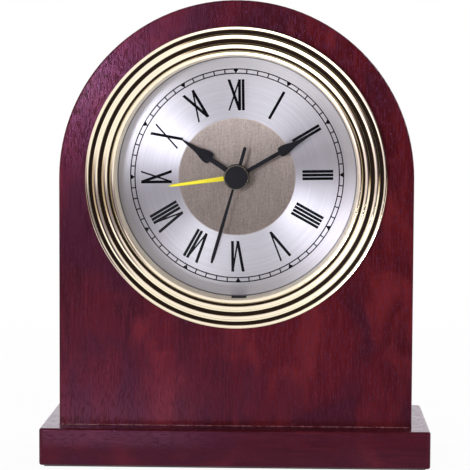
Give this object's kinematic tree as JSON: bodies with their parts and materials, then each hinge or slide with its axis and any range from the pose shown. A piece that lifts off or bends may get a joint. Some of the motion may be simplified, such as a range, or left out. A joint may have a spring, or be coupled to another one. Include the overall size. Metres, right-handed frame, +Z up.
{
  "type": "table clock",
  "caption": "Arched wooden table clock on a board base, with a round gold-bezelled alarm insert: Roman dial, turning hands, setting knobs, alarm switch and battery bay.",
  "frame": {"origin": "centre of the base's footprint, on the surface it stands on", "axes": "+Z up, the dial faces -Y, +X to the right of someone facing the dial"},
  "size_m": [0.1168, 0.05, 0.1395],
  "materials": {
    "mahogany": "dark red-brown stain under gloss lacquer",
    "felt": "dark pressed felt",
    "gold": "polished gold plate",
    "glass": "clear, polished",
    "champagne": "satin",
    "silver_dial": "circular brushed silver with a straight brushed warm grey centre",
    "black_plastic": "fine moulded texture",
    "rubber": "matte",
    "steel": "plated",
    "ivory_plastic": "moulded",
    "white_plastic": "moulded",
    "brass_part": "turned",
    "magnet": "sintered, dark",
    "copper_wire": "enamelled copper",
    "board_green": "solder mask",
    "chip_black": "epoxy",
    "battery_skin": "printed sleeve, unlettered",
    "hand_black": "satin black",
    "hand_yellow": "satin yellow"
  },
  "bodies": {
    "case": {"wood_base": "mahogany", "wood_case": "mahogany", "base_screws": "steel", "felt_sheet": "felt", "bezel": "gold", "lens": "glass", "spacer_ring": "champagne", "dial": "silver_dial", "insert_housing": "black_plastic", "retaining_ring": "rubber", "movement_front_shell": "black_plastic", "movement_back_cover": "black_plastic", "cover_screws": "steel", "ear_screws": "steel", "stator": "steel", "coil_core": "steel", "coil_bobbin": "white_plastic", "coil_winding": "copper_wire", "circuit_board": "board_green", "chip": "chip_black", "quartz_crystal": "steel", "buzzer": "brass_part", "positive_contact": "steel", "negative_contact": "steel"},
    "seconds": {"second_hand": "hand_black", "second_wheel": "ivory_plastic"},
    "intermediate": {"intermediate_wheel": "ivory_plastic"},
    "motor_rotor": {"rotor": "magnet"},
    "third": {"third_wheel": "ivory_plastic"},
    "centre": {"centre_wheel": "ivory_plastic"},
    "minutes": {"minute_hand": "hand_black", "minute_pipe": "brass_part"},
    "time_setting": {"minute_work_wheel": "ivory_plastic", "time_knob": "white_plastic"},
    "hours": {"hour_hand": "hand_black", "hour_wheel": "ivory_plastic"},
    "alarm": {"alarm_hand": "hand_yellow", "alarm_wheel": "ivory_plastic"},
    "alarm_setting": {"alarm_setting_wheel": "ivory_plastic", "alarm_knob": "black_plastic"},
    "switch": {"alarm_switch": "white_plastic"},
    "cell": {"battery": "battery_skin"}
  },
  "joints": [
    {"name": "second_hand_turn", "type": "hinge", "parent": "case", "child": "seconds", "pos_m": [0, -0.01755, 0.0867], "axis": [0, 1, 0], "continuous": true},
    {"name": "intermediate_turn", "type": "hinge", "parent": "case", "child": "intermediate", "pos_m": [-0.00901, -0.01755, 0.0919], "axis": [0, 1, 0], "continuous": true},
    {"name": "rotor_turn", "type": "hinge", "parent": "case", "child": "motor_rotor", "pos_m": [-0.01047, -0.01755, 0.10017], "axis": [0, 1, 0], "continuous": true},
    {"name": "third_turn", "type": "hinge", "parent": "case", "child": "third", "pos_m": [0.01016, -0.01755, 0.08581], "axis": [0, 1, 0], "continuous": true},
    {"name": "centre_turn", "type": "hinge", "parent": "case", "child": "centre", "pos_m": [0, -0.01755, 0.0867], "axis": [0, 1, 0], "continuous": true},
    {"name": "minute_hand_turn", "type": "hinge", "parent": "case", "child": "minutes", "pos_m": [0, -0.01755, 0.0867], "axis": [0, 1, 0], "continuous": true},
    {"name": "time_knob_turn", "type": "hinge", "parent": "case", "child": "time_setting", "pos_m": [0.00456, -0.01755, 0.09649], "axis": [0, 1, 0], "continuous": true},
    {"name": "hour_hand_turn", "type": "hinge", "parent": "case", "child": "hours", "pos_m": [0, -0.01755, 0.0867], "axis": [0, 1, 0], "continuous": true},
    {"name": "alarm_hand_turn", "type": "hinge", "parent": "case", "child": "alarm", "pos_m": [0, -0.01755, 0.0867], "axis": [0, 1, 0], "continuous": true},
    {"name": "alarm_knob_turn", "type": "hinge", "parent": "case", "child": "alarm_setting", "pos_m": [-0.01183, -0.01755, 0.08353], "axis": [0, 1, 0], "continuous": true},
    {"name": "alarm_switch_slide", "type": "slide", "parent": "case", "child": "switch", "axis": [1, 0, 0], "range_m": [0, 0.004]},
    {"name": "battery_out", "type": "slide", "parent": "case", "child": "cell", "axis": [0, 1, 0], "range_m": [0, 0.03]}
  ],
  "couplings": [
    {"joint": "intermediate_turn", "follows": "second_hand_turn", "ratio": -5},
    {"joint": "rotor_turn", "follows": "second_hand_turn", "ratio": 30},
    {"joint": "third_turn", "follows": "second_hand_turn", "ratio": -0.13333},
    {"joint": "centre_turn", "follows": "second_hand_turn", "ratio": 0.016667},
    {"joint": "time_knob_turn", "follows": "minute_hand_turn", "ratio": -0.33333},
    {"joint": "hour_hand_turn", "follows": "minute_hand_turn", "ratio": 0.083333},
    {"joint": "alarm_knob_turn", "follows": "alarm_hand_turn", "ratio": -1.3333}
  ]
}
